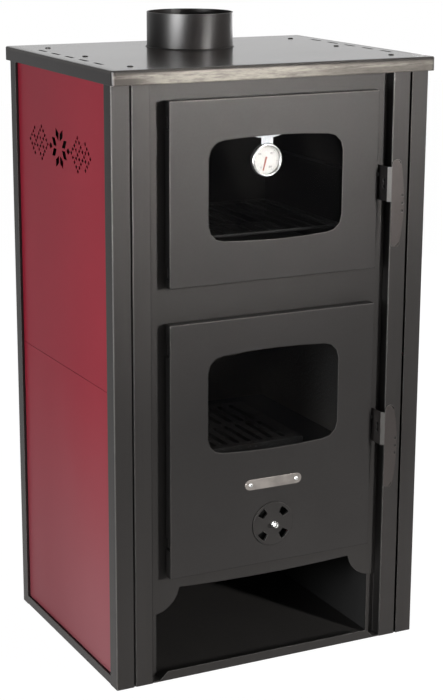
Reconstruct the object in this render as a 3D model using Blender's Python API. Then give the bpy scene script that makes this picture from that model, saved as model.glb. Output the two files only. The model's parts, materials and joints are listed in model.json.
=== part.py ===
# Wood-burning stove with an oven, in metres, +Z up, front towards -Y.
# The origin is the middle of the footprint at floor level.
from math import asin, cos, degrees, pi, radians, sin, sqrt

import bmesh
import bpy
from mathutils import Matrix, Vector

# Whole body
body_width = 0.460
body_depth = 0.351
plate_height = 0.820
gap = 0.0003
sheet = 0.0015
thick_sheet = 0.002
wall = 0.003
bend = 0.002

# Top plate and flue spigot
plate_side = 0.003
plate_front = 0.012
plate_back = 0.0125
rim_height = 0.0185
rim_corner = 0.006
vent_inset = 0.021
vent_length = 0.028
vent_width = 0.005
vent_pitch = 0.048
vent_count = 5
screw_hole_inset = 0.043
screw_hole_radius = 0.0025
flue_radius = 0.060
flue_height = 0.048
flue_from_back = 0.097
flue_foot = 0.006
round_steps = 36

# Posts, stiles, tray and side panels
post_face = 0.025
front_leg = 0.022
rear_leg = 0.020
panel_recess = 0.004
seam = 0.0025
seam_lip = 0.008
stile_face = 0.026
stile_flange = 0.012
lip_height = 0.013
lip_inset = 0.008
panel_split = 0.404
panel_fold = 0.010

# Pattern of the upper side panels
pattern_shift = 0.0065
pattern_rise = 0.2965
star_size = 0.0363
stitch_size = 0.0031
stitch_pitch = 0.0054
diamond_offset = 0.0633

# Front plate
plate_recess = 0.015
apron_height = 0.125
apron_bow = 0.0035
ear_radius = 0.0415
ear_rise = 0.007
ear_inset = 0.0045
opening_corner = 0.012

# Doors: side gaps from the stiles, and drops from each door's top edge
door_gap_left = 0.0240
door_gap_right = 0.0230
door_depth = 0.014
door_stand = 0.003
fire_door_bottom = 0.145
fire_door_height = 0.347
door_spacing = 0.0476
oven_door_height = 0.239
opening_side = 0.0235
opening_end = 0.0215
window_side = 0.055
window_corner = 0.022
window_bow = 0.003
oven_window_drop = 0.0528
oven_window_rise = 0.0562
fire_window_drop = 0.0483
fire_window_height = 0.133
glass_margin = 0.010
glass_thickness = 0.004
rope_width = 0.008
rope_offset = 0.0065
liner_screw_inset = 0.010
liner_screw_radius = 0.0018

# Door hinges
hinge_inset = 0.007
hinge_setback = 0.0065
knuckle_radius = 0.004
knuckle_height = 0.016
leaf_thickness = 0.003
pin_radius = 0.0025
tab_thickness = 0.003
oven_hinge_insets = (0.019, 0.028)
fire_hinge_insets = (0.047, 0.035)

# Door handles and their catches
handle_reach = 0.025
handle_clear = 0.0035
handle_fold = 0.0045
grip_height = 0.1183
grip_width = 0.0203
grip_end = 0.015
grip_corner = 0.007
web_height = 0.0465
web_drop = 0.010
pivot_drop = 0.013
pivot_radius = 0.0025
lobe_radius = 0.008
nose_height = 0.0057
nose_length = 0.012
eye_radius = 0.0028
eye_spread = 0.0115
eye_reach = 0.0095
finger_hole_pitch = 0.0104
finger_hole_radius = 0.0019
catch_height = 0.004
catch_slack = 0.0025
catch_foot = 0.009
oven_grip_drop = 0.0895
fire_grip_drop = 0.1402

# Nameplate and air rosette, on the fire door
plate_rise = 0.1153
nameplate_length = 0.086
nameplate_height = 0.0145
nameplate_thickness = 0.001
rivet_spacing = 0.0695
rivet_radius = 0.0015
rosette_rise = 0.0557
rosette_radius = 0.031
rosette_hole_inner = 0.017
rosette_hole_outer = 0.027
rosette_hole_spread = 30
rosette_screw_radius = 0.0025
rosette_screw_reach = 0.0072

# Thermometer behind the oven glass
dial_shift = -0.0099
dial_drop = 0.0335
case_radius = 0.0215
case_depth = 0.008
case_wall = 0.0015
strap_width = 0.0165
bracket_width = 0.054
bracket_height = 0.020
bracket_sag = 0.006
pointer_length = 0.0145
pointer_angle = 165

# Inner body, fire, ash and oven
casing_gap = 0.0045
casing_back_gap = 0.0167
hearth_height = 0.285
grate_length = 0.190
grate_width = 0.156
grate_thickness = 0.012
grate_ledge = 0.010
grate_slot = 0.008
grate_bar = 0.010
grate_from_front = 0.055
brick_thickness = 0.025
brick_height = 0.125
pan_width = 0.160
pan_height = 0.055
pan_from_front = 0.030
pan_back_gap = 0.048
oven_side = 0.019
oven_back_gap = 0.048
ledge_heights = (0.028, 0.108)
ledge_width = 0.012
ledge_thickness = 0.004
baffle_drop = 0.025
rack_wire = 0.0022
rack_bars = 11
rack_from_front = 0.045
rack_back_gap = 0.013

# Places worked out from the sizes above
front = -(body_depth + plate_back - handle_reach) / 2
half = body_width / 2
plate_under = plate_height - thick_sheet
flue_y = front + body_depth - flue_from_back
stile_outer = half - post_face - seam
stile_inner = stile_outer - stile_face
flange_front = plate_recess + thick_sheet + gap
inner_front = flange_front + sheet + gap
inner_half = stile_inner - casing_gap - wall
inner_back = body_depth - 2 * sheet - gap - casing_back_gap - wall
pan_length = inner_back - pan_back_gap - pan_from_front
oven_back = inner_back - oven_back_gap
rack_length = oven_back - thick_sheet - rack_back_gap - rack_from_front
door_left = -stile_inner + door_gap_left
door_right = stile_inner - door_gap_right
door_width = door_right - door_left
door_shift = (door_left + door_right) / 2
oven_door_bottom = fire_door_bottom + fire_door_height + door_spacing
window_width = door_width - 2 * window_side
oven_window_height = oven_door_height - oven_window_drop - oven_window_rise
oven_width = door_width - 2 * oven_side
oven_inner_height = oven_door_height - 2 * opening_end + 2 * wall
face_back = -door_stand + thick_sheet
liner_front = face_back + gap + glass_thickness + gap
liner_back = liner_front + sheet
axis_x = door_left + hinge_inset
axis_y = -door_stand + hinge_setback
web_x = door_right + handle_clear
grip_x = web_x + handle_fold

finishes = {
    "dark_paint": ((0.115, 0.108, 0.102), 0.55, 0.1),
    "red_enamel": ((0.27, 0.035, 0.05), 0.32, 0.0),
    "burnished_steel": ((0.42, 0.40, 0.38), 0.3, 0.9),
    "black_steel": ((0.05, 0.05, 0.05), 0.6, 0.3),
    "cast_iron": ((0.06, 0.055, 0.05), 0.75, 0.5),
    "firebrick": ((0.50, 0.38, 0.26), 0.95, 0.0),
    "enamel": ((0.03, 0.03, 0.035), 0.3, 0.0),
    "glass": ((0.05, 0.05, 0.05), 0.05, 0.0),
    "rope": ((0.45, 0.43, 0.40), 0.95, 0.0),
    "zinc": ((0.62, 0.62, 0.60), 0.35, 1.0),
    "nickel": ((0.75, 0.74, 0.72), 0.2, 1.0),
    "white": ((0.85, 0.84, 0.80), 0.5, 0.0),
    "pointer_red": ((0.6, 0.05, 0.03), 0.5, 0.0),
}


# Outlines, as lists of (u, v) points
def arc(cu, cv, radius, start, end, steps):
    turns = [radians(start + (end - start) * i / steps) for i in range(steps + 1)]
    return [(cu + radius * cos(t), cv + radius * sin(t)) for t in turns]


def circle(cu, cv, radius, steps=12):
    return arc(cu, cv, radius, 0, 360, steps)[:-1]


def rectangle(u0, v0, u1, v1):
    return [(u0, v0), (u1, v0), (u1, v1), (u0, v1)]


def round_rectangle(u0, v0, u1, v1, radius, steps=3):
    corners = ((u1, v1, 0), (u0, v1, 90), (u0, v0, 180), (u1, v0, 270))
    loop = []
    for u, v, start in corners:
        cu = u - radius if u == u1 else u + radius
        cv = v - radius if v == v1 else v + radius
        loop += arc(cu, cv, radius, start, start + 90, steps)
    return loop


def window_outline(door, grow=0.0):
    # A rounded screen shape whose upper and lower edges bow out.
    r = window_corner + grow
    cu, cv = door_shift, door.window_z
    u, v = window_width / 2 + grow - r, door.window_height / 2 + grow - r
    loop = []
    for side in (1, -1):
        start = 0 if side == 1 else 180
        loop += arc(cu + side * u, cv + side * v, r, start, start + 90, 3)
        for t in (0.5, 0.0, -0.5):
            loop.append((cu + side * u * t, cv + side * (v + r + window_bow * (1 - t * t))))
        loop += arc(cu - side * u, cv + side * v, r, start + 90, start + 180, 3)
    return loop


def sector(cu, cv, inner, outer, middle, spread, steps=2):
    a, b = middle - spread / 2, middle + spread / 2
    return arc(cu, cv, outer, a, b, steps) + arc(cu, cv, inner, b, a, steps)


def stadium(cu, cv, length, width, upright=False, steps=4):
    reach, r = (length - width) / 2, width / 2
    if upright:
        return arc(cu, cv + reach, r, 0, 180, steps) + arc(cu, cv - reach, r, 180, 360, steps)
    return arc(cu + reach, cv, r, -90, 90, steps) + arc(cu - reach, cv, r, 90, 270, steps)


def mirrored(loop, side):
    return [(side * u, v) for u, v in loop]


# Solids
places = {"XY": lambda u, v, w: (u, v, w), "XZ": lambda u, v, w: (u, w, v), "YZ": lambda u, v, w: (w, u, v)}


def add_prism(bm, loops, start, end, plane):
    # The first loop is the outline and the others are holes in it.
    edges = []
    for loop in loops:
        verts = [bm.verts.new(places[plane](u, v, start)) for u, v in loop]
        edges += [bm.edges.new((verts[i - 1], verts[i])) for i in range(len(verts))]
    cap = bmesh.ops.triangle_fill(bm, use_beauty=True, edges=edges)["geom"]
    faces = [g for g in cap if isinstance(g, bmesh.types.BMFace)]
    grown = bmesh.ops.extrude_face_region(bm, geom=faces)["geom"]
    moved = [g for g in grown if isinstance(g, bmesh.types.BMVert)]
    bmesh.ops.translate(bm, verts=moved, vec=Vector(places[plane](0, 0, end - start)))


def add_box(bm, low, high):
    corner = bmesh.ops.create_cube(bm, size=1.0)["verts"]
    size = Vector(high) - Vector(low)
    bmesh.ops.scale(bm, vec=size, verts=corner)
    bmesh.ops.translate(bm, vec=(Vector(high) + Vector(low)) / 2, verts=corner)


def add_turned(bm, profile, steps, centre, axis):
    # The profile is a list of (radius, distance) points; one that ends on the axis stays open.
    solid = profile[0][0] == 0
    turned = bmesh.new()
    ring = [turned.verts.new((r, 0, w)) for r, w in profile]
    edges = [turned.edges.new((ring[i - 1], ring[i])) for i in range(1 if solid else 0, len(ring))]
    bmesh.ops.spin(turned, geom=ring + edges, cent=(0, 0, 0), axis=(0, 0, 1), angle=2 * pi, steps=steps)
    bmesh.ops.remove_doubles(turned, verts=turned.verts, dist=1e-6)
    turn = {"X": Matrix.Rotation(pi / 2, 4, "Y"), "Y": Matrix.Rotation(-pi / 2, 4, "X"), "Z": Matrix()}[axis]
    bmesh.ops.transform(turned, matrix=Matrix.Translation(centre) @ turn, verts=turned.verts)
    mesh = bpy.data.meshes.new("turned")
    turned.to_mesh(mesh)
    turned.free()
    bm.from_mesh(mesh)
    bpy.data.meshes.remove(mesh)


def add_sweep(bm, path, section, plane):
    # Carries a closed section round a closed flat path; section points are (outward, across).
    rings = []
    for i, (u, v) in enumerate(path):
        before, after = Vector(path[i - 1]), Vector(path[(i + 1) % len(path)])
        back = (Vector((u, v)) - before).normalized()
        ahead = (after - Vector((u, v))).normalized()
        along = (back + ahead).normalized()
        outward = Vector((along.y, -along.x)) / max(0.5, along.dot(ahead))
        across = [places[plane](u + outward.x * n, v + outward.y * n, w) for n, w in section]
        rings.append([bm.verts.new(place) for place in across])
    for i, ring in enumerate(rings):
        last = rings[i - 1]
        for j in range(len(ring)):
            bm.faces.new((last[j - 1], last[j], ring[j], ring[j - 1]))


# Objects
def world_place(obj):
    return obj.location + (world_place(obj.parent) if obj.parent else Vector())


def pivot(name, place, parent=None):
    empty = bpy.data.objects.new(name, None)
    empty.empty_display_size = 0.03
    bpy.context.scene.collection.objects.link(empty)
    empty.parent = parent
    empty.location = Vector(place) - (world_place(parent) if parent else Vector())
    return empty


def new_object(name, bm, parent=None):
    bmesh.ops.recalc_face_normals(bm, faces=bm.faces)
    mesh = bpy.data.meshes.new(name)
    bm.to_mesh(mesh)
    bm.free()
    spans = [[v.co[k] for v in mesh.vertices] for k in range(3)]
    middle = Vector([(min(s) + max(s)) / 2 for s in spans])
    mesh.transform(Matrix.Translation(-middle))
    obj = bpy.data.objects.new(name, mesh)
    bpy.context.scene.collection.objects.link(obj)
    obj.parent = parent
    obj.location = middle - (world_place(parent) if parent else Vector())
    return obj


def piece(name, bm, finish, parent=None):
    obj = new_object(name, bm, parent)
    colour, roughness, metallic = finishes[finish]
    material = bpy.data.materials.new(name)
    material.use_nodes = True
    shader = material.node_tree.nodes["Principled BSDF"]
    shader.inputs["Base Color"].default_value = (*colour, 1.0)
    shader.inputs["Roughness"].default_value = roughness
    shader.inputs["Metallic"].default_value = metallic
    obj.data.materials.append(material)
    obj.data.shade_smooth()
    obj.data.set_sharp_from_angle(angle=radians(30))
    return obj


def combine(obj, bm, operation):
    # The guide keeps no parent, so it stays where it was drawn.
    guide = new_object(obj.name + "_guide", bm)
    guide.hide_render = True
    guide.display_type = "WIRE"
    modifier = obj.modifiers.new(operation.lower(), "BOOLEAN")
    modifier.operation = operation
    modifier.object = guide


def cut(obj, bm):
    combine(obj, bm, "DIFFERENCE")


def fuse(obj, bm):
    combine(obj, bm, "UNION")


def flat_piece(name, loops, start, end, plane, finish, parent=None):
    bm = bmesh.new()
    add_prism(bm, loops, start, end, plane)
    return piece(name, bm, finish, parent)


def box_piece(name, low, high, finish, parent=None):
    bm = bmesh.new()
    add_box(bm, low, high)
    return piece(name, bm, finish, parent)


def turned_piece(name, profile, steps, centre, axis, finish, parent=None):
    bm = bmesh.new()
    add_turned(bm, profile, steps, centre, axis)
    return piece(name, bm, finish, parent)


def chamfer(obj, width):
    modifier = obj.modifiers.new("chamfer", "BEVEL")
    modifier.width = width
    modifier.segments = 1
    modifier.limit_method = "ANGLE"


# Top plate: one sheet folded down all round, with slots over the side air gaps
def top_plate():
    low_y, high_y = front - plate_front, front + body_depth + plate_back
    wide = half + plate_side
    bm = bmesh.new()
    add_box(bm, (-wide, low_y, plate_height - rim_height), (wide, high_y, plate_height))
    upright = [e for e in bm.edges if abs(e.verts[0].co.z - e.verts[1].co.z) > rim_height / 2]
    bmesh.ops.bevel(bm, geom=upright, offset=rim_corner, segments=3, affect="EDGES", profile=0.5)
    upper = [e for e in bm.edges if all(v.co.z > plate_height - gap for v in e.verts)]
    upper = [e for e in upper if any(f.normal.z < 0.5 for f in e.link_faces)]
    bmesh.ops.bevel(bm, geom=upper, offset=bend, segments=2, affect="EDGES", profile=0.5)
    obj = piece("top_plate", bm, "burnished_steel")
    hollow = bmesh.new()
    inside = thick_sheet
    add_prism(hollow, [round_rectangle(-wide + inside, low_y + inside, wide - inside, high_y - inside,
                                       rim_corner - inside)], 0.7 * plate_height, plate_under, "XY")
    cut(obj, hollow)
    holes = bmesh.new()
    bottom, top = plate_under - wall, plate_height + wall
    middle = front + body_depth / 2
    for side in (-1, 1):
        for i in range(vent_count):
            y = middle + (i - (vent_count - 1) / 2) * vent_pitch
            vent = stadium(side * (half - vent_inset + plate_side), y, vent_length, vent_width, upright=True)
            add_prism(holes, [vent], bottom, top, "XY")
        for y in (front + screw_hole_inset - plate_front, middle, front + body_depth - screw_hole_inset):
            add_prism(holes, [circle(side * (half - screw_hole_inset + plate_side), y, screw_hole_radius, 8)],
                      bottom, top, "XY")
    add_prism(holes, [circle(0, flue_y, flue_radius + gap, round_steps)], bottom, top, "XY")
    cut(obj, holes)


def flue_spigot():
    foot_top = plate_under - gap
    foot = foot_top - thick_sheet
    inner = flue_radius - thick_sheet
    top = plate_height + flue_height
    profile = [(inner, foot), (flue_radius + flue_foot, foot), (flue_radius + flue_foot, foot_top),
               (flue_radius, foot_top), (flue_radius, top), (inner, top)]
    turned_piece("flue_spigot", profile, round_steps, (0, flue_y, 0), "Z", "black_steel")


# Corner posts: a face, a side leg and a short return that meets the side panel
def post_loop(leg):
    inside = half - panel_recess + gap
    loop = [(half - post_face, 0)]
    loop += arc(half - bend, bend, bend, -90, 0, 3)
    loop += [(half, leg), (inside, leg), (inside, leg - sheet), (half - sheet, leg - sheet)]
    return loop + [(half - sheet, sheet), (half - post_face, sheet)]


def posts():
    top = plate_under - gap
    for side, word in ((-1, "left"), (1, "right")):
        fore = [(side * u, front + v) for u, v in post_loop(front_leg)]
        aft = [(side * u, front + body_depth - v) for u, v in post_loop(rear_leg)]
        flat_piece("front_post_" + word, [fore], 0, top, "XY", "dark_paint")
        flat_piece("rear_post_" + word, [aft], 0, top, "XY", "dark_paint")


def stiles():
    # The inner wall runs back past the front plate and turns in behind it.
    rear = flange_front + sheet
    loop = [(stile_outer, seam_lip)]
    loop += arc(stile_outer - bend, bend, bend, 0, -90, 3)
    loop += arc(stile_inner + bend, bend, bend, -90, -180, 3)
    loop += [(stile_inner, flange_front), (stile_inner - stile_flange, flange_front)]
    loop += [(stile_inner - stile_flange, rear), (stile_inner + sheet, rear), (stile_inner + sheet, sheet)]
    loop += [(stile_outer - sheet, sheet), (stile_outer - sheet, seam_lip)]
    for side, word in ((-1, "left"), (1, "right")):
        drawn = [(side * u, front + v) for u, v in loop]
        flat_piece("front_stile_" + word, [drawn], 0, plate_under - gap, "XY", "dark_paint")


def base_tray():
    # The floor steps in and out round the stiles and posts, and its front lip has mitred ends.
    edge, throat, channel = stile_inner - gap, stile_inner - stile_flange - gap, stile_inner + sheet + gap
    inside = half - panel_recess
    leg, rear, tuck = front_leg + gap, body_depth - rear_leg - gap, sheet / 2
    outline = [(edge, tuck), (edge, flange_front - gap), (throat, flange_front - gap), (throat, inner_front)]
    outline += [(channel, inner_front), (channel, sheet + gap), (stile_outer - sheet - gap, sheet + gap)]
    outline += [(stile_outer - sheet - gap, seam_lip + gap), (stile_outer + gap, seam_lip + gap)]
    outline += [(stile_outer + gap, sheet + gap), (half - sheet - gap, sheet + gap)]
    outline += [(half - sheet - gap, leg - sheet - 2 * gap)]
    outline += [(inside, leg - sheet - 2 * gap), (inside, leg + tuck), (half - tuck, leg + tuck)]
    outline += [(half - tuck, rear - tuck), (inside, rear - tuck), (inside, body_depth - sheet - gap)]
    outline += [(-u, v) for u, v in reversed(outline)]
    loop = [(u, front + v) for u, v in outline]
    obj = flat_piece("base_tray", [loop], 0, sheet, "XY", "dark_paint")
    lip = stile_inner - lip_inset
    lips = bmesh.new()
    mitred = [(-lip, tuck), (lip, tuck), (lip - lip_height, lip_height), (lip_height - lip, lip_height)]
    add_prism(lips, [mitred], front, front + sheet, "XZ")
    for side in (-1, 1):
        edge = sorted((side * half, side * (half - sheet)))
        add_box(lips, (edge[0], front + leg, tuck), (edge[1], front + rear, lip_height))
    fuse(obj, lips)


# Side panels: set back behind the posts, the upper one cut through with the pattern
def star_loops(cu, cv):
    # The points are shares of the star's size.
    petal = [(0.050, 0.262), (0.055, 0.551), (0.344, 0.716), (0.339, 0.427)]
    lance = [(0.689, 0), (0.843, 0.124), (1, 0), (0.843, -0.124)]
    petal, lance = [[(star_size * u, star_size * v) for u, v in loop] for loop in (petal, lance)]
    loops = []
    for su in (-1, 1):
        for sv in (-1, 1):
            loops.append([(cu + su * u, cv + sv * v) for u, v in petal])
            loops.append([(cu + su * v, cv + sv * u) for u, v in petal])
        loops.append([(cu + su * u, cv + v) for u, v in lance])
    return loops


def stitch(cu, cv):
    return [(cu - stitch_size, cv), (cu, cv - stitch_size), (cu + stitch_size, cv), (cu, cv + stitch_size)]


def pattern_loops(cu, cv):
    # A star between two woven diamonds, with a chevron of dots outside each diamond.
    # The chevron's points are counted in stitches from the diamond's middle.
    chevron = [(4.76, 3.15), (5.78, 2.13), (6.80, 1.11), (4.85, 1.02)]
    tip = 7.81
    loops = star_loops(cu, cv)
    for side in (-1, 1):
        for i in range(5):
            for j in range(5):
                if i % 2 == 0 or j % 2 == 0:
                    u = cu + side * diamond_offset + (i - j) * stitch_pitch
                    loops.append(stitch(u, cv + (i + j - 4) * stitch_pitch))
        for reach, rise in chevron:
            u = cu + side * (diamond_offset + reach * stitch_pitch)
            loops.append(stitch(u, cv + rise * stitch_pitch))
            loops.append(stitch(u, cv - rise * stitch_pitch))
        loops.append(stitch(cu + side * (diamond_offset + tip * stitch_pitch), cv))
    return loops


def side_panels():
    outer = half - panel_recess
    low_y, high_y = front + sheet + gap, front + body_depth - 2 * sheet - 2 * gap
    fold_y = front_leg + gap
    pattern_y = front + body_depth / 2 + pattern_shift
    pattern_z = panel_split + pattern_rise
    for side, word in ((-1, "left"), (1, "right")):
        faces = sorted((side * outer, side * (outer - sheet)))
        folds = sorted((side * outer, side * (outer - panel_fold)))
        bands = {"upper": (panel_split + gap, plate_under - gap), "lower": (sheet + gap, panel_split - gap)}
        for band, (bottom, top) in bands.items():
            loops = [rectangle(low_y, bottom, high_y, top)]
            if band == "upper":
                loops += pattern_loops(pattern_y, pattern_z)
            obj = flat_piece("side_panel_" + band + "_" + word, loops, *faces, "YZ", "red_enamel")
            fold_z = (bottom, bottom + sheet) if band == "upper" else (top - sheet, top)
            fold = bmesh.new()
            add_box(fold, (folds[0], low_y + fold_y, fold_z[0]), (folds[1], high_y - fold_y, fold_z[1]))
            fuse(obj, fold)


def back_panel():
    wide = half - sheet - gap
    rear = front + body_depth - sheet - gap
    box_piece("back_panel", (-wide, rear - sheet, sheet + gap), (wide, rear, plate_under - gap), "dark_paint")


# Front plate: two door openings over a bowed apron with a rounded ear at each side;
# the hinge knuckles are welded to it
def front_plate(doors):
    edge = stile_inner - gap
    ear_u, ear_v = stile_inner - ear_inset, apron_height + ear_rise
    meet = degrees(asin(ear_rise / ear_radius))
    start = degrees(asin((edge - ear_u) / ear_radius))
    ear = arc(ear_u, ear_v, ear_radius, 180 + meet, 270 + start, 6)
    inner = ear[0][0]
    apron = []
    for i in range(1, 8):
        t = i / 4 - 1
        apron.append((t * inner, apron_height - apron_bow * (1 - t * t)))
    loop = [(-u, v) for u, v in reversed(ear)] + apron + ear
    loop += [(edge, plate_under - gap), (-edge, plate_under - gap)]
    loops = [loop]
    for door in doors:
        loops.append(round_rectangle(door_left + opening_side, door.bottom + opening_end,
                                     door_right - opening_side, door.top - opening_end, opening_corner))
    near, far = front + plate_recess, front + plate_recess + thick_sheet
    obj = flat_piece("front_plate", loops, near, far, "XZ", "dark_paint")
    welded = bmesh.new()
    for door in doors:
        for z in door.hinges:
            low, high = z - knuckle_height / 2, z + knuckle_height / 2
            add_prism(welded, knuckle_loops(near + thick_sheet / 4), low, high, "XY")
    fuse(obj, welded)


def knuckle_loops(leaf_end):
    y = front + axis_y
    meet = degrees(asin(leaf_thickness / 2 / knuckle_radius))
    outline = [(axis_x + leaf_thickness / 2, leaf_end)]
    outline += arc(axis_x, y, knuckle_radius, 90 - meet, -270 + meet, 12)
    outline += [(axis_x - leaf_thickness / 2, leaf_end)]
    return [outline, circle(axis_x, y, pin_radius + gap, 10)]


def catch(door):
    # The handle's nose lies under this bar, whose foot is riveted to the front plate.
    near, back = front + 0.005, front + plate_recess - gap
    foot = back - sheet
    left, right = web_x - sheet / 2, web_x + sheet + catch_slack
    loop = [(left, near), (right, near), (right, foot), (right + catch_foot, foot),
            (right + catch_foot, back), (left, back)]
    low = door.web_bottom + nose_height + gap
    flat_piece(door.name + "_catch", [loop], low, low + catch_height, "XY", "dark_paint")


# Inner body: a casing folded from one sheet that stands on the tray, with the ash floor
# and the hearth welded into it
def inner_casing():
    fore, aft = front + inner_front, front + inner_back
    side, outer = inner_half, inner_half + wall
    loop = [(-outer, fore), (-side, fore), (-side, aft), (side, aft), (side, fore), (outer, fore)]
    loop += arc(outer - bend, aft + wall - bend, bend, 0, 90, 2)
    loop += arc(bend - outer, aft + wall - bend, bend, 90, 180, 2)
    obj = flat_piece("inner_casing", [loop], sheet + gap, plate_under - gap, "XY", "black_steel")
    wide = inner_half + wall / 2
    ash = fire_door_bottom + opening_end
    near, far = grate_span()
    hole = rectangle(door_shift - grate_width / 2 + grate_ledge, near + grate_ledge,
                     door_shift + grate_width / 2 - grate_ledge, far - grate_ledge)
    floors = bmesh.new()
    add_box(floors, (-wide, fore + gap, ash - wall), (wide, aft + wall / 2, ash))
    add_prism(floors, [rectangle(-wide, fore + gap, wide, aft + wall / 2), hole], hearth_height - wall,
              hearth_height, "XY")
    fuse(obj, floors)


def grate_span():
    return front + grate_from_front, front + grate_from_front + grate_length


def fire_bed():
    wide = inner_half - gap
    fore, aft = front + inner_front, front + inner_back - gap
    near, far = grate_span()
    side = grate_width / 2
    loops = [rectangle(door_shift - side, near, door_shift + side, far)]
    pitch = grate_slot + grate_bar
    count = int((grate_width - 2 * grate_ledge) / pitch)
    length = (grate_length - 3 * grate_ledge) / 2
    for i in range(count):
        u = door_shift + (i - (count - 1) / 2) * pitch
        for k in (-1, 1):
            v = (near + far) / 2 + k * (length + grate_ledge) / 2
            loops.append(stadium(u, v, length, grate_slot, upright=True, steps=2))
    seat = hearth_height + gap
    flat_piece("grate", loops, seat, seat + grate_thickness, "XY", "cast_iron")
    top = seat + brick_height
    rear = aft - brick_thickness
    for sign, word in ((-1, "left"), (1, "right")):
        faces = sorted((sign * wide, sign * (wide - brick_thickness)))
        low, high = (faces[0], fore, seat), (faces[1], rear - gap, top)
        brick = box_piece("firebrick_" + word, low, high, "firebrick")
        chamfer(brick, bend)
    brick = box_piece("firebrick_back", (-wide, rear, seat), (wide, aft, top), "firebrick")
    chamfer(brick, bend)


def ash_pan(parent):
    fore = front + pan_from_front
    floor = fire_door_bottom + opening_end + gap
    low = Vector((door_shift - pan_width / 2, fore, floor))
    high = Vector((door_shift + pan_width / 2, fore + pan_length, floor + pan_height))
    obj = box_piece("ash_pan", low, high, "black_steel", parent)
    hollow = bmesh.new()
    skin = Vector((sheet, sheet, sheet))
    add_box(hollow, low + skin, high - Vector((sheet, sheet, -sheet)))
    cut(obj, hollow)
    pull = bmesh.new()
    top = floor + pan_height
    lip = [(fore + sheet / 2, top - sheet), (fore - 0.007, top - sheet), (fore - 0.007, top - 0.006)]
    lip += [(fore - 0.0085, top - 0.006), (fore - 0.0085, top), (fore + sheet / 2, top)]
    add_prism(pull, [lip], door_shift - 0.035, door_shift + 0.035, "YZ")
    fuse(obj, pull)


def oven_box():
    wide = oven_width / 2
    floor = oven_door_bottom + opening_end - wall
    top = floor + oven_inner_height
    fore, aft = front + plate_recess + thick_sheet + gap, front + oven_back
    obj = box_piece("oven_box", (door_shift - wide - thick_sheet, fore, floor - thick_sheet),
                    (door_shift + wide + thick_sheet, aft, top + thick_sheet), "enamel")
    hollow = bmesh.new()
    add_box(hollow, (door_shift - wide, fore - wall, floor), (door_shift + wide, aft - thick_sheet, top))
    cut(obj, hollow)
    ledges = bmesh.new()
    for height in ledge_heights:
        for side in (-1, 1):
            edges = sorted((side * (wide + thick_sheet / 2), side * (wide - ledge_width)))
            add_box(ledges, (door_shift + edges[0], fore + wall, floor + height),
                    (door_shift + edges[1], aft - thick_sheet / 2, floor + height + ledge_thickness))
    # A flange behind the oven closes the shaft there, so the smoke goes round the oven's sides.
    near, far = aft - thick_sheet / 2, front + inner_back - gap
    bottom = floor - thick_sheet
    loop = [(near, bottom), (far - sheet, bottom), (far - sheet, bottom - baffle_drop)]
    loop += [(far, bottom - baffle_drop), (far, bottom + sheet), (near, bottom + sheet)]
    wide = inner_half - gap
    add_prism(ledges, [loop], -wide, wide, "YZ")
    fuse(obj, ledges)


def oven_rack(parent):
    # A wire frame with cross bars, lying on the lower ledges.
    floor = oven_door_bottom + opening_end - wall
    z = floor + ledge_heights[0] + ledge_thickness + gap + rack_wire
    wide = door_width / 2 - opening_side - rack_wire - 0.001
    near, far = front + rack_from_front, front + rack_from_front + rack_length
    path = round_rectangle(door_shift - wide, near, door_shift + wide, far, 0.012, 2)
    section = [(rack_wire * cos(t), z + rack_wire * sin(t)) for t in [radians(60 * k) for k in range(6)]]
    bm = bmesh.new()
    add_sweep(bm, path, section, "XY")
    obj = piece("oven_rack", bm, "nickel", parent)
    bars = bmesh.new()
    thin = rack_wire * 0.6
    for i in range(rack_bars):
        u = door_shift + (i - (rack_bars - 1) / 2) * (2 * wide - 0.03) / (rack_bars - 1)
        loop = [(u + thin * cos(t), z + thin * sin(t)) for t in [radians(72 * k) for k in range(5)]]
        add_prism(bars, [loop], near, far, "XZ")
    fuse(obj, bars)


# Doors: a folded skin, a glass clamped by a liner, a rope round the opening
class Door:
    def __init__(self, name, bottom, height, window_drop, window_height, hinge_insets, grip_drop):
        self.name = name
        self.bottom = bottom
        self.top = bottom + height
        self.window_height = window_height
        self.window_z = self.top - window_drop - window_height / 2
        self.hinges = [bottom + hinge_insets[0], self.top - hinge_insets[1]]
        self.grip_top = self.top - grip_drop
        self.web_top = self.grip_top - web_drop
        self.web_bottom = self.web_top - web_height
        self.pivot_z = self.web_top - pivot_drop
        side = door_width / 2 - opening_side - liner_screw_inset
        ends = (bottom + opening_end + liner_screw_inset, self.top - opening_end - liner_screw_inset)
        self.liner_screws = [(door_shift + s * side, z) for z in ends for s in (-1, 1)]
        self.hinge = pivot(name + "_door_axis", (axis_x, front + axis_y, bottom))
        place = (web_x, front + axis_y, self.pivot_z)
        self.handle_axis = pivot(name + "_handle_axis", place, self.hinge)


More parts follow.
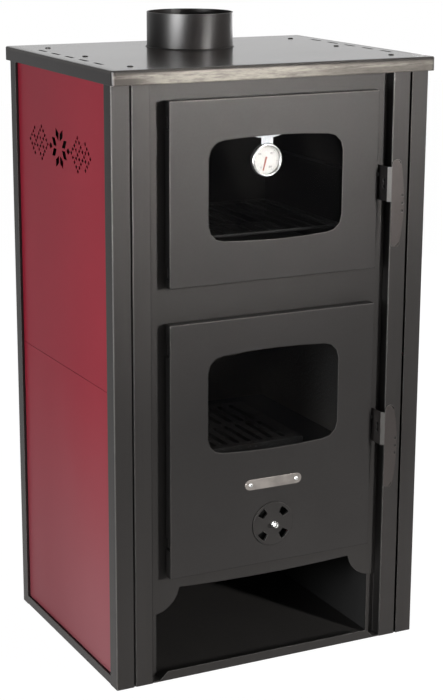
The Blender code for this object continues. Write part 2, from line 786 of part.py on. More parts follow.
def door_skin(door, face_holes):
    low_y, high_y = front - door_stand, front - door_stand + door_depth
    bm = bmesh.new()
    add_box(bm, (door_left, low_y, door.bottom), (door_right, high_y, door.top))
    rim = [e for e in bm.edges if any(v.co.y < low_y + gap for v in e.verts)]
    bmesh.ops.bevel(bm, geom=rim, offset=bend * 0.75, segments=2, affect="EDGES", profile=0.5)
    obj = piece(door.name + "_door", bm, "dark_paint", door.hinge)
    hollow = bmesh.new()
    add_box(hollow, (door_left + thick_sheet, front + face_back, door.bottom + thick_sheet),
            (door_right - thick_sheet, high_y + wall, door.top - thick_sheet))
    cut(obj, hollow)
    openings = bmesh.new()
    for loop in [window_outline(door)] + face_holes:
        add_prism(openings, [loop], low_y - wall, front + face_back + gap, "XZ")
    for z in door.hinges:
        add_box(openings, (door_left - wall, front + face_back, z - knuckle_height / 2 - gap),
                (door_left + thick_sheet + gap, high_y + wall, z + knuckle_height / 2 + gap))
    pin = circle(front + axis_y, door.pivot_z, pivot_radius + gap, 10)
    add_prism(openings, [pin], door_right - thick_sheet - wall, door_right + wall, "YZ")
    cut(obj, openings)
    tabs = bmesh.new()
    for z in door.hinges:
        for side in (-1, 1):
            near = z + side * (knuckle_height / 2 + gap)
            levels = sorted((near, near + side * tab_thickness))
            ear = rectangle(door_left + thick_sheet / 4, front + face_back - thick_sheet / 4,
                            axis_x + knuckle_radius + sheet / 2, front + axis_y + knuckle_radius + sheet / 2)
            bore = circle(axis_x, front + axis_y, pin_radius + gap, 10)
            add_prism(tabs, [ear, bore], *levels, "XY")
    fuse(obj, tabs)
    return obj


def hinge_pins(door):
    y = front + axis_y
    reach = knuckle_height / 2 + 2 * gap + tab_thickness
    head = 0.0015
    profile = [(0, -reach - head), (pin_radius, -reach - head), (pin_radius, reach), (knuckle_radius, reach),
               (knuckle_radius, reach + head), (0, reach + head)]
    for z, word in zip(door.hinges, ("lower", "upper")):
        turned_piece(door.name + "_hinge_pin_" + word, profile, 10, (axis_x, y, z), "Z", "zinc", door.hinge)


def door_glass(door):
    side = window_width / 2 + glass_margin
    rise = door.window_height / 2 + window_bow + glass_margin
    near = front + face_back + gap
    box_piece(door.name + "_door_glass", (door_shift - side, near, door.window_z - rise),
              (door_shift + side, near + glass_thickness, door.window_z + rise), "glass", door.hinge)


def rope_box(door):
    # The middle line of the rope, just outside the opening in the front plate.
    side = door_width / 2 - opening_side + rope_offset
    low, high = door.bottom + opening_end - rope_offset, door.top - opening_end + rope_offset
    return door_shift - side, low, door_shift + side, high


def door_liner(door, extra_holes):
    left, low, right, high = rope_box(door)
    margin = rope_width / 2 + gap
    loops = [rectangle(left - margin, low - margin, right + margin, high + margin)]
    loops.append(window_outline(door, 0.004))
    loops += [circle(u, v, liner_screw_radius + gap, 8) for u, v in door.liner_screws]
    flat_piece(door.name + "_door_liner", loops + extra_holes, front + liner_front, front + liner_back, "XZ",
               "black_steel", door.hinge)


def door_rope(door):
    left, low, right, high = rope_box(door)
    near, far = front + liner_back + gap, front + plate_recess - gap
    middle, deep = (near + far) / 2, (far - near) / 2
    section = [(rope_width / 2 * cos(t), middle + deep * sin(t)) for t in [radians(45 * k) for k in range(8)]]
    bm = bmesh.new()
    add_sweep(bm, round_rectangle(left, low, right, high, opening_corner, 4), section, "XZ")
    piece(door.name + "_door_rope", bm, "rope", door.hinge)


def liner_screws(door):
    near, far = face_back + gap, liner_back + gap
    r, head = liner_screw_radius, liner_screw_radius * 2
    profile = [(0, near), (r, near), (r, far), (head, far), (head, far + r), (0, far + r)]
    for (u, v), word in zip(door.liner_screws, ("lower_left", "lower_right", "upper_left", "upper_right")):
        turned_piece(door.name + "_door_screw_" + word, profile, 8, (u, front, v), "Y", "zinc", door.hinge)


# Handles: a web beside the door, folded out to a grip plate, turning on a rivet
def grip_loops(door):
    left, right, low, high = grip_x, grip_x + grip_end, door.grip_top - grip_height, door.grip_top
    r = grip_corner
    loop = arc(left + r, low + r, r, 180, 270, 3) + arc(right - r, low + r, r, 270, 350, 3)
    for i in range(1, 6):
        t = i / 3 - 1
        loop.append((right + (grip_width - grip_end) * (1 - t * t), low + r + (grip_height - 2 * r) * i / 6))
    loop += arc(right - r, high - r, r, 10, 90, 3) + arc(left + r, high - r, r, 90, 180, 3)
    loops = [loop]
    for k in (-1, 0, 1):
        z = (low + high) / 2 + k * finger_hole_pitch
        loops.append(circle(grip_x + grip_width - 0.0031, z, finger_hole_radius, 8))
    for z, start in ((high - r, 8), (low + r, -78)):
        outer = arc(right - r, z, r - 0.0012, start, start + 70, 3)
        loops.append(outer + arc(right - r, z, r - 0.0022, start + 70, start, 3))
    return loops


def web_loops(door):
    low, high, z = door.web_bottom, door.web_top, door.pivot_z
    fore = front - handle_reach + handle_fold
    slack = 0.0047
    loop = [(fore + sheet, low), (front + nose_length, low), (front + nose_length, low + nose_height)]
    loop += [(front + slack, low + nose_height), (front + slack, low + 0.020)]
    loop += arc(front + axis_y, z, lobe_radius, -50, 90, 4)
    loop += [(front + axis_y, high), (fore + sheet, high)]
    eye_y, eye_z, r = front - door_stand - eye_reach, (low + high) / 2, eye_radius
    neck = degrees(asin(0.4))
    eight = arc(eye_y, eye_z + eye_spread / 2 - r / 2, r, -90 + neck, 270 - neck, 8)
    eight += arc(eye_y, eye_z - eye_spread / 2 + r / 2, r, 90 + neck, 450 - neck, 8)
    return [loop, circle(front + axis_y, z, pivot_radius + gap, 10), eight]


def handle(door):
    fore = front - handle_reach
    obj = flat_piece(door.name + "_handle", grip_loops(door), fore, fore + sheet, "XZ", "dark_paint",
                     door.handle_axis)
    web = bmesh.new()
    add_prism(web, web_loops(door), web_x, web_x + sheet, "YZ")
    fuse(obj, web)
    turn = sheet * (sqrt(2) - 1)
    back = fore + handle_fold
    deep = back + 1.3 * sheet
    fold = [(web_x, deep), (web_x, back), (grip_x, fore), (grip_x + 2 * sheet, fore)]
    fold += [(grip_x + 2 * sheet, fore + sheet), (grip_x + turn, fore + sheet)]
    fold += [(web_x + sheet, back + turn), (web_x + sheet, deep)]
    facet = bmesh.new()
    add_prism(facet, [fold], door.web_bottom, door.web_top, "XY")
    fuse(obj, facet)


def handle_rivet(door):
    inside = door_right - thick_sheet - gap - web_x
    outside = sheet + gap
    head = pivot_radius * 1.8
    profile = [(0, inside - sheet), (head, inside - sheet), (head, inside), (pivot_radius, inside),
               (pivot_radius, outside), (head, outside), (head, outside + sheet), (0, outside + sheet)]
    place = (web_x, front + axis_y, door.pivot_z)
    turned_piece(door.name + "_handle_rivet", profile, 10, place, "X", "zinc", door.hinge)


def make_door(door, face_holes, liner_holes):
    catch(door)
    door_skin(door, face_holes)
    hinge_pins(door)
    door_glass(door)
    door_liner(door, liner_holes)
    door_rope(door)
    liner_screws(door)
    handle(door)
    handle_rivet(door)


# Fire door fittings
def air_holes(z, steps):
    size = (rosette_hole_inner, rosette_hole_outer)
    return [sector(door_shift, z, *size, 45 + 90 * k, rosette_hole_spread, steps) for k in range(4)]


def nameplate(door):
    z = door.bottom + plate_rise
    face = front - door_stand - gap
    loops = [stadium(door_shift, z, nameplate_length, nameplate_height, steps=6)]
    shank = [(0, 0.006), (rivet_radius, 0.006), (rivet_radius, 0), (2 * rivet_radius, 0),
             (1.6 * rivet_radius, -0.001), (0.8 * rivet_radius, -0.0016), (0, -0.0018)]
    holes = []
    for side, word in ((-1, "left"), (1, "right")):
        u = door_shift + side * rivet_spacing / 2
        holes.append(circle(u, z, rivet_radius + gap, 8))
        turned_piece("nameplate_rivet_" + word, shank, 8, (u, face - nameplate_thickness - gap, z), "Y",
                     "nickel", door.hinge)
    flat_piece("nameplate", loops + holes, face - nameplate_thickness, face, "XZ", "nickel", door.hinge)
    return holes


def rosette(door):
    z = door.bottom + rosette_rise
    face = front - door_stand - gap
    axis = pivot("air_rosette_axis", (door_shift, face, z), door.hinge)
    r = rosette_screw_radius
    bore = circle(door_shift, z, r + gap, 10)
    loops = [circle(door_shift, z, rosette_radius, 24), bore] + air_holes(z, 2)
    flat_piece("air_rosette", loops, face - sheet, face, "XZ", "dark_paint", axis)
    nut_back = -sheet - gap
    nut_front = nut_back - 0.0035
    nut = [(r + gap, nut_back), (r * 1.8, nut_back), (r * 1.8, nut_front), (r + gap, nut_front)]
    turned_piece("rosette_nut", nut, 6, (door_shift, face, z), "Y", "zinc", door.hinge)
    head = -sheet - rosette_screw_reach
    inside = thick_sheet + 2 * gap
    screw = [(0, inside + sheet), (r * 1.8, inside + sheet), (r * 1.8, inside), (r, inside), (r, head),
             (r * 1.7, head), (r * 1.7, head - 0.003), (0, head - 0.003)]
    turned_piece("rosette_screw", screw, 6, (door_shift, face, z), "Y", "zinc", door.hinge)
    return [bore] + air_holes(z, 2)


# Oven thermometer: bracket on the liner, case with a bezel, dial, pointer and lens
def thermometer(door):
    u = door_shift + dial_shift
    top = door.window_z + door.window_height / 2 + window_bow
    z = top - dial_drop
    near = liner_front + gap
    turned_case = [(0, near + case_depth), (case_radius, near + case_depth), (case_radius, near),
                   (case_radius - 2 * case_wall, near), (case_radius - 2 * case_wall, near + 0.001),
                   (case_radius - case_wall, near + 0.001),
                   (case_radius - case_wall, near + case_depth - 0.001),
                   (0, near + case_depth - 0.001)]
    turned_piece("thermometer_case", turned_case, 24, (u, front, z), "Y", "nickel", door.hinge)
    plate = liner_back + gap
    cradle = case_radius + gap
    side = degrees(asin(strap_width / 2 / cradle))
    loop = arc(u, z, cradle, 90 + side, 90 - side, 4)
    wide, crown = bracket_width / 2, top - 0.003 + bracket_height
    strap = strap_width / bracket_width
    crescent = [(t * wide, top + 0.001 - bracket_sag * (1 - t * t)) for t in (strap, 0.55, 0.8, 1.0)]
    loop += [(u + x, v) for x, v in crescent] + [(u + wide, crown), (u - wide, crown)]
    loop += [(u - x, v) for x, v in reversed(crescent)]
    flat_piece("thermometer_bracket", [loop], front + plate, front + plate + 0.001, "XZ", "nickel",
               door.hinge)
    disc = case_radius - case_wall - gap
    back = near + case_depth - 0.001 - gap
    hole = circle(u, z, 0.0011, 8)
    flat_piece("thermometer_dial", [circle(u, z, disc, 24), hole], front + back - 0.0007, front + back, "XZ",
               "white", door.hinge)
    lens = near + 0.001 + gap
    flat_piece("thermometer_lens", [circle(u, z, disc, 24)], front + lens, front + lens + 0.001, "XZ",
               "glass", door.hinge)
    axis = pivot("thermometer_pointer_axis", (u, front + back, z), door.hinge)
    hand = [(-0.0012, -0.004), (0.0012, -0.004), (0.0008, pointer_length), (-0.0008, pointer_length)]
    turn = radians(pointer_angle)
    swung = [(u + a * cos(turn) - b * sin(turn), z + a * sin(turn) + b * cos(turn)) for a, b in hand]
    lift = front + back - 0.0007 - gap
    obj = flat_piece("thermometer_pointer", [swung], lift - 0.0006, lift, "XZ", "pointer_red", axis)
    hub = bmesh.new()
    add_prism(hub, [circle(u, z, 0.0008, 8)], lift - 0.0003, front + back, "XZ")
    fuse(obj, hub)


def clear_scene():
    for obj in list(bpy.data.objects):
        bpy.data.objects.remove(obj, do_unlink=True)


def build():
    clear_scene()
    top_plate()
    flue_spigot()
    posts()
    stiles()
    base_tray()
    side_panels()
    back_panel()
    oven = Door("oven", oven_door_bottom, oven_door_height, oven_window_drop, oven_window_height,
                oven_hinge_insets, oven_grip_drop)
    fire = Door("fire", fire_door_bottom, fire_door_height, fire_window_drop, fire_window_height,
                fire_hinge_insets, fire_grip_drop)
    front_plate((oven, fire))
    inner_casing()
    fire_bed()
    oven_box()
    ash_pan(pivot("ash_pan_slide", (door_shift, front + pan_from_front, fire_door_bottom + opening_end)))
    oven_rack(pivot("oven_rack_slide", (door_shift, front + rack_from_front, oven_door_bottom + opening_end)))
    make_door(oven, [], [])
    thermometer(oven)
    holes = nameplate(fire) + rosette(fire)
    air = circle(door_shift, fire_door_bottom + rosette_rise, rosette_hole_outer + 0.002, 16)
    make_door(fire, holes, [air])


build()
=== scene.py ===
import json
from math import cos, pi, radians, sin

import bmesh
import bpy
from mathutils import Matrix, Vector


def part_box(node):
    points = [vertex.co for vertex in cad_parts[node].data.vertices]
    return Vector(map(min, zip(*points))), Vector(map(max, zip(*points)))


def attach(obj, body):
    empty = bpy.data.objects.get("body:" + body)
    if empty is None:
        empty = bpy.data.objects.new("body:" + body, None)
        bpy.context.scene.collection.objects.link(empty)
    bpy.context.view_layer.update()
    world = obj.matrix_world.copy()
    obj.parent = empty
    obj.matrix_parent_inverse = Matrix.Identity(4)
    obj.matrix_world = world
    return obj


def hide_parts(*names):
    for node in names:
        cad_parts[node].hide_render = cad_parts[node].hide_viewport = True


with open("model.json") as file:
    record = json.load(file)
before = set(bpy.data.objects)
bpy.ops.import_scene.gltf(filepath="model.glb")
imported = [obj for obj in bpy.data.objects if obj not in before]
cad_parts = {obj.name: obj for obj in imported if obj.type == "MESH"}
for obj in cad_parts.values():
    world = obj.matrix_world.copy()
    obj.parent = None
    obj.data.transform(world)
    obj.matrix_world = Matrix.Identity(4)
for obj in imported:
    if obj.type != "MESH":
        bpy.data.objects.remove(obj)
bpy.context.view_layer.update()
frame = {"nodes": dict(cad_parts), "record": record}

nodes = frame["nodes"]
print("frame loaded:", len(nodes), "nodes")


# One output of a node. Python's own signs add the Math nodes.
class Value:
    def __init__(self, graph, socket):
        self.graph = graph
        self.socket = socket

    def __add__(self, other):
        return self.graph.maths("ADD", self, other)

    def __sub__(self, other):
        return self.graph.maths("SUBTRACT", self, other)

    def __rsub__(self, other):
        return self.graph.maths("SUBTRACT", other, self)

    def __mul__(self, other):
        return self.graph.maths("MULTIPLY", self, other)

    def __lt__(self, other):
        return self.graph.maths("LESS_THAN", self, other)

    __radd__ = __add__
    __rmul__ = __mul__


class Graph:
    def __init__(self, tree):
        self.tree = tree

    # Any node: its settings first, then the values or links of its sockets.
    def add(self, kind, settings=None, inputs=None, output=0):
        node = self.tree.nodes.new(kind)
        for key, value in (settings or {}).items():
            setattr(node, key, value)
        for key, value in (inputs or {}).items():
            self.feed(node.inputs[key], value)
        return Value(self, node.outputs[output]) if node.outputs else None

    def feed(self, socket, value):
        if isinstance(value, Value):
            self.tree.links.new(value.socket, socket)
        elif isinstance(value, tuple) and len(value) == 3 and socket.type == "RGBA":
            socket.default_value = (*value, 1)
        else:
            socket.default_value = value

    def maths(self, operation, *values):
        return self.add("ShaderNodeMath", {"operation": operation}, dict(enumerate(values)))

    def clamp(self, value):
        return self.add("ShaderNodeClamp", None, {"Value": value})

    def steps(self, value, low, high):
        # 0 below low, 1 above high, smooth between them.
        settings = {"interpolation_type": "SMOOTHSTEP"}
        return self.add("ShaderNodeMapRange", settings, {"Value": value, "From Min": low, "From Max": high})

    def vary(self, limits, value):
        # The first number, and the second one times the value on top of it.
        return limits[0] + limits[1] * value

    def mix(self, share, low, high, blend="MIX"):
        settings = {"data_type": "RGBA", "blend_type": blend}
        return self.add("ShaderNodeMix", settings, {0: share, 6: low, 7: high}, 2)

    def dim(self, colour, level):
        grey = self.add("ShaderNodeCombineColor", None, {0: level, 1: level, 2: level})
        return self.mix(1.0, colour, grey, "MULTIPLY")

    def place(self, stretch=(1, 1, 1)):
        # The point in the stove's own frame, stretched to draw out a texture.
        point = self.add("ShaderNodeTexCoord", None, None, "Object")
        return self.add("ShaderNodeVectorMath", {"operation": "MULTIPLY"}, {0: point, 1: stretch})

    def along(self, axis, vector=None):
        vector = vector or self.add("ShaderNodeTexCoord", None, None, "Object")
        return self.add("ShaderNodeSeparateXYZ", None, {0: vector}, "XYZ".index(axis))

    def faces(self, sign, axis):
        # 1 where the surface looks along the axis, 0 where it looks aside or the other way.
        facing = self.along(axis, self.add("ShaderNodeTexCoord", None, None, "Normal"))
        return self.steps(facing * sign, 0.6, 0.9)

    def noise(self, scale, detail=2.0, stretch=(1, 1, 1), rough=0.5):
        return self.add("ShaderNodeTexNoise", None,
                        {"Vector": self.place(stretch), "Scale": scale, "Detail": detail, "Roughness": rough})

    def cells(self, scale, output="Distance"):
        return self.add("ShaderNodeTexVoronoi", None, {"Vector": self.place(), "Scale": scale}, output)


class Finish(Graph):
    def __init__(self, name, plain):
        self.material = bpy.data.materials.new(name)
        self.material.use_nodes = True
        super().__init__(self.material.node_tree)
        self.shader = self.tree.nodes["Principled BSDF"]
        for key, value in plain.items():
            self.feed(self.shader.inputs[key], value)

    def paint(self, **fed):
        for key, value in fed.items():
            self.feed(self.shader.inputs[key.replace("_", " ")], value)

    def bump(self, height, strength, distance, under=None):
        inputs = {"Height": height, "Strength": strength, "Distance": distance}
        if under:
            inputs["Normal"] = under
        return self.add("ShaderNodeBump", None, inputs)

    def rounded(self, radius):
        return self.add("ShaderNodeBevel", {"samples": 4}, {"Radius": radius})

    def bends(self, radius):
        # Two shares of a rounded or bent edge, for painted light: a painted highlight where it leans left or up, a
        # painted shade where it leans right or down.
        lean = self.rounded(radius)
        across, ahead, up = [self.along(axis, lean) for axis in "XYZ"]
        ahead = self.clamp(ahead * -2)
        left, right = self.clamp(across * -1), self.clamp(across)
        above, below = self.clamp(up), self.clamp(up * -1)
        shares = self.clamp(ahead * (left + above)), self.clamp(ahead * (right + below))
        return [self.steps(share, 0.15, 0.70) for share in shares]

    def edges(self, radius):
        # 1 where the rounded surface leans 37 degrees or more off the flat, 0 on a flat.
        flat = self.add("ShaderNodeNewGeometry", None, None, "True Normal")
        turn = self.add("ShaderNodeVectorMath", {"operation": "DOT_PRODUCT"}, {0: self.rounded(radius), 1: flat},
                        "Value")
        return self.clamp((1 - turn) * 5)


# Finishes. A roughness of two numbers is the smoothest value and what its own pattern adds at most.
# In paintLook, bright and shine give the painted highlight on edges, shade and gloom the painted shade on edges,
# side the painted shade on faces at the left, and foot the painted floor light low down.
paintLook = {"colour": (0.057, 0.0540, 0.0525), "worn": (0.20, 0.19, 0.18), "bright": (0.26, 0.25, 0.24),
             "shade": (0.004, 0.004, 0.004), "roughness": (0.42, 0.10), "grainShine": 0.05, "gloss": 0.07,
             "even": 0.82, "clouds": 0.24, "grain": 0.12, "edge": 0.0009, "wear": 0.25, "lean": 0.0016,
             "shine": 0.9, "gloom": 0.85, "side": 0.78, "sideHeight": 0.9, "foot": 0.40, "footHeight": 0.40}


def satinPaint(name, look, streak=(1, 1, 1)):
    # Heat-resistant paint: faint clouds, fine grain, worn edges; painted shade on faces at the left, a paler foot
    # that is painted floor light, and painted highlights and shade on rounded edges.
    finish = Finish(name, {"Metallic": 0.0, "Specular IOR Level": look["gloss"]})
    clouds = finish.noise(scale=9.0, detail=3.0, stretch=streak)
    grain = finish.noise(scale=420.0, stretch=streak)
    fine = finish.noise(scale=1500.0, detail=1.0)
    height = finish.along("Z")
    # Painted floor light: the paint is paler towards the floor.
    foot = 1 + look["foot"] * (1 - finish.steps(height, 0.0, look["footHeight"]))
    tone = finish.dim(look["colour"], (look["even"] + look["clouds"] * clouds + look["grain"] * grain) * foot)
    scuffs = finish.steps(finish.noise(scale=60.0, detail=4.0), 0.42, 0.62)
    bare = finish.clamp(finish.edges(look["edge"]) * scuffs) * look["wear"]
    # Painted highlight where an edge leans left or up, painted shade where it leans right or down.
    light, dark = finish.bends(look["lean"])
    # Painted shade on faces that look left, stronger towards the top.
    side = finish.faces(-1, "X") * finish.steps(height, 0.0, look["sideHeight"])
    tone = finish.mix(bare, tone, look["worn"])
    tone = finish.mix(side * look["side"], tone, look["shade"])
    tone = finish.mix(dark * look["gloom"], tone, look["shade"])
    finish.paint(Base_Color=finish.mix(light * look["shine"], tone, look["bright"]),
                 Roughness=finish.vary(look["roughness"], clouds) - look["grainShine"] * grain,
                 Normal=finish.bump(fine + 0.6 * grain, 0.10, 0.0002, finish.rounded(look["edge"])))
    return finish.material


def redEnamel():
    look = {"colour": (0.44, 0.026, 0.050), "deep": (0.36, 0.021, 0.042), "dustAndFloorSheen": (0.46, 0.27, 0.29),
            "rear": (0.20, 0.013, 0.027), "inside": (0.006, 0.004, 0.004), "roughness": (0.30, 0.10), "gloss": 0.03,
            "specks": 0.04, "foot": 0.50, "footHeight": 0.50, "footClouds": 0.12, "rearShare": 0.5,
            "rearFrom": -0.14, "rearTo": 0.10}
    finish = Finish("redEnamel", {"Specular IOR Level": look["gloss"]})
    clouds = finish.noise(scale=5.0, detail=3.0, stretch=(1, 1, 0.6))
    specks = finish.steps(finish.noise(scale=240.0), 0.68, 0.80)
    swell = finish.noise(scale=7.0, detail=1.0, stretch=(1, 1, 0.35))
    fine = finish.noise(scale=900.0, detail=1.0)
    # Dust specks, and a paler foot that is a painted reflection of the pale floor.
    foot = 1 - finish.steps(finish.along("Z") + look["footClouds"] * clouds, 0.0, look["footHeight"])
    tone = finish.mix(clouds, look["colour"], look["deep"])
    tone = finish.mix(specks * look["specks"] + foot * look["foot"], tone, look["dustAndFloorSheen"])
    # Painted shade: the enamel darkens towards the rear.
    rear = finish.steps(finish.along("Y"), look["rearFrom"], look["rearTo"])
    tone = finish.mix(rear * look["rearShare"], tone, look["rear"])
    # The enamel covers the outer face only: the inner one looks towards the middle of the stove. The inner face and
    # every face that looks forward are painted near black, a painted shade of the stove's inside and of the seam at
    # the front.
    facing = finish.along("X", finish.add("ShaderNodeTexCoord", None, None, "Normal"))
    inner = finish.steps(finish.along("X") * facing * -1, 0.05, 0.10)
    tone = finish.mix(finish.maths("MAXIMUM", inner, finish.faces(-1, "Y")), tone, look["inside"])
    finish.paint(Base_Color=tone, Roughness=finish.vary(look["roughness"], clouds),
                 Normal=finish.bump(fine, 0.04, 0.0002, finish.bump(swell, 0.12, 0.004)))
    return finish.material


def topSteel():
    # Dark polished plate, with painted shade along its rolled edges; the front flange is bare metal, pale and
    # mottled left of the middle, darker towards the right, and scratched.
    look = {"colour": (0.017, 0.014, 0.0125), "clouded": (0.044, 0.038, 0.035), "side": (0.012, 0.010, 0.010),
            "bare": (0.106, 0.099, 0.087), "patch": (0.058, 0.054, 0.048), "smoke": (0.026, 0.023, 0.021),
            "edge": 0.0018, "rim": 0.0052, "bendFrom": 0.004, "bendTo": 0.016, "metal": 0.75, "coat": (0.12, 0.08),
            "roughness": (0.16, 0.06), "frontRoughness": 0.22, "sideRoughness": 0.2, "fadeLeft": (-0.215, -0.13),
            "fadeRight": (-0.03, 0.12), "faded": 0.66, "ragged": 0.02, "scratchLow": (0.0115, 0.009),
            "scratchHigh": (0.0075, 0.005), "scratchShare": 0.45}
    low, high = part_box("top_plate")
    finish = Finish("topSteel", {"Specular IOR Level": 0.09, "Coat IOR": 1.55, "Coat Roughness": 0.09})
    clouds = finish.noise(scale=7.0, detail=4.0)
    scratches = finish.noise(scale=30.0, detail=4.0, stretch=(1, 30, 14), rough=0.7)
    mottle = finish.noise(scale=150.0, detail=4.0, stretch=(0.22, 1, 1.5), rough=0.75)
    across, deep, up = [finish.along(axis) for axis in "XYZ"]
    front, upper = finish.faces(-1, "Y"), finish.faces(1, "Z")
    # The flange is palest left of the middle and darkens towards the right.
    fade = finish.steps(across + look["ragged"] * mottle, *look["fadeLeft"])
    fade = fade * (1 - look["faded"] * finish.steps(across, *look["fadeRight"]))
    # One long scratch runs along the flange, this far under the top.
    line = finish.steps(up, *[high.z - drop for drop in look["scratchLow"]])
    line = line * (1 - finish.steps(up, *[high.z - drop for drop in look["scratchHigh"]]))
    line = line * finish.steps(scratches, 0.40, 0.60)
    paleMottle = finish.mix(finish.steps(mottle, 0.30, 0.62), look["patch"], look["bare"])
    flange = finish.mix(finish.clamp(fade + look["scratchShare"] * line), look["smoke"], paleMottle)
    plain = finish.mix(upper, look["side"], finish.mix(clouds, look["colour"], look["clouded"]))
    # The polish stops short of the rolled edges.
    toEdge = finish.maths("MINIMUM", deep - low.y, finish.maths("MINIMUM", across - low.x, high.x - across))
    polish = upper * finish.steps(toEdge, look["bendFrom"], look["bendTo"])
    # Painted shade: a dark band along the top of the flanges stands in for the shade of the rolled edge.
    rim = (1 - upper) * finish.steps(up, high.z - look["rim"], high.z - 0.5 * look["rim"])
    roughness = finish.vary(look["roughness"], clouds) + front * look["frontRoughness"]
    finish.paint(Base_Color=finish.mix(rim, finish.mix(front, plain, flange), look["smoke"]),
                 Metallic=front * (1 - rim) * look["metal"], Coat_Weight=polish * finish.vary(look["coat"], clouds),
                 Roughness=roughness + look["sideRoughness"] * (1 - upper),
                 Normal=finish.bump(scratches, 0.10, 0.0003, finish.rounded(look["edge"])))
    return finish.material


def blackSteel(name, colour, roughness):
    look = {"gloss": 0.12, "even": 0.75, "clouds": 0.4, "grain": 0.12, "spread": 0.15, "edge": 0.0006}
    finish = Finish(name, {"Specular IOR Level": look["gloss"]})
    clouds = finish.noise(scale=14.0, detail=4.0)
    grain = finish.noise(scale=500.0)
    finish.paint(Base_Color=finish.dim(colour, look["even"] + look["clouds"] * clouds + look["grain"] * grain),
                 Roughness=roughness + look["spread"] * clouds,
                 Normal=finish.bump(grain, 0.12, 0.0003, finish.rounded(look["edge"])))
    return finish.material


def castIron():
    look = {"colour": (0.018, 0.016, 0.015), "rusty": (0.036, 0.022, 0.016), "rust": 0.5, "roughness": (0.62, 0.3),
            "edge": 0.0012}
    finish = Finish("castIron", {"Specular IOR Level": 0.15})
    pits = finish.cells(420.0)
    rust = finish.steps(finish.noise(scale=38.0, detail=5.0), 0.52, 0.72)
    rough = pits + finish.noise(scale=160.0, detail=3.0)
    finish.paint(Base_Color=finish.mix(rust * look["rust"], look["colour"], look["rusty"]),
                 Roughness=finish.vary(look["roughness"], rust),
                 Normal=finish.bump(rough, 0.5, 0.0006, finish.rounded(look["edge"])))
    return finish.material


def firebrick():
    # Pressed grains, greyed by soot towards the top.
    look = {"colour": (0.15, 0.125, 0.10), "pale": (0.20, 0.17, 0.135), "black": (0.035, 0.033, 0.031),
            "soot": (0.35, 0.5), "sootFrom": 0.28, "sootTo": 0.42, "ragged": 0.05, "roughness": (0.85, 0.1),
            "flakes": 260.0}
    finish = Finish("firebrick", {"Specular IOR Level": 0.15})
    flake = finish.add("ShaderNodeRGBToBW", None, {0: finish.cells(look["flakes"], "Color")})
    height = finish.along("Z") + look["ragged"] * finish.noise(scale=20.0, detail=4.0)
    soot = finish.vary(look["soot"], finish.steps(height, look["sootFrom"], look["sootTo"]))
    rough = finish.cells(look["flakes"]) + finish.noise(scale=90.0, detail=4.0)
    finish.paint(Base_Color=finish.mix(soot, finish.mix(flake, look["colour"], look["pale"]), look["black"]),
                 Roughness=finish.vary(look["roughness"], flake), Normal=finish.bump(rough, 0.3, 0.0006))
    return finish.material


def ovenEnamel():
    look = {"colour": (0.006, 0.006, 0.007), "speck": (0.022, 0.022, 0.024), "roughness": (0.34, 0.12)}
    finish = Finish("ovenEnamel", {"Specular IOR Level": 0.04})
    away = finish.steps(finish.cells(520.0), 0.0, 0.12)
    finish.paint(Base_Color=finish.mix(away, look["speck"], look["colour"]),
                 Roughness=finish.vary(look["roughness"], finish.noise(scale=30.0)),
                 Normal=finish.bump(finish.noise(scale=40.0, detail=1.0), 0.02, 0.001))
    return finish.material


def clearGlass(name, tint, alpha):
    look = {"haze": (0.035, 0.034, 0.033), "roughness": (0.03, 0.05)}
    finish = Finish(name, {"Specular IOR Level": 0.10, "Alpha": alpha})
    haze = finish.steps(finish.noise(scale=12.0, detail=4.0, stretch=(1, 1, 0.7)), 0.40, 0.75)
    finish.paint(Base_Color=finish.mix(haze, tint, look["haze"]), Roughness=finish.vary(look["roughness"], haze))
    return finish.material


def sealingRope():
    # Knitted glass fibre: slanting loops round the cord.
    look = {"gap": (0.055, 0.053, 0.050), "loop": (0.24, 0.235, 0.225), "roughness": (0.85, 0.1), "loops": 190.0}
    finish = Finish("sealingRope", {"Specular IOR Level": 0.2, "Sheen Weight": 0.2})
    loops = finish.add("ShaderNodeTexWave", {"wave_type": "BANDS", "bands_direction": "DIAGONAL"},
                       {"Vector": finish.place(), "Scale": look["loops"], "Distortion": 2.5, "Detail": 2.0}, "Fac")
    finish.paint(Base_Color=finish.mix(loops, look["gap"], look["loop"]),
                 Roughness=finish.vary(look["roughness"], loops), Normal=finish.bump(loops, 0.8, 0.0008))
    return finish.material


def darker(colour, share):
    return tuple(share * channel for channel in colour)


def platedSteel(name, colour, roughness):
    look = {"cloudy": 0.72, "spread": 0.14, "edge": 0.0003}
    finish = Finish(name, {"Metallic": 1.0})
    clouds = finish.noise(scale=160.0, detail=3.0)
    finish.paint(Base_Color=finish.mix(clouds, colour, darker(colour, look["cloudy"])),
                 Roughness=roughness + look["spread"] * clouds,
                 Normal=finish.bump(finish.noise(scale=900.0), 0.06, 0.0001, finish.rounded(look["edge"])))
    return finish.material


def nameplateSteel():
    # Blank plate, brushed lengthways, its edge rolled.
    look = {"colour": (0.22, 0.201, 0.185), "stained": (0.155, 0.141, 0.131), "roughness": (0.34, 0.16),
            "edge": 0.0006}
    finish = Finish("nameplateSteel", {"Metallic": 0.85})
    brush = finish.noise(scale=260.0, detail=3.0, stretch=(0.06, 1, 1), rough=0.6)
    stain = finish.steps(finish.noise(scale=45.0, detail=3.0), 0.35, 0.7)
    finish.paint(Base_Color=finish.mix(stain, look["colour"], look["stained"]),
                 Roughness=finish.vary(look["roughness"], brush),
                 Normal=finish.bump(brush, 0.12, 0.0002, finish.rounded(look["edge"])))
    return finish.material


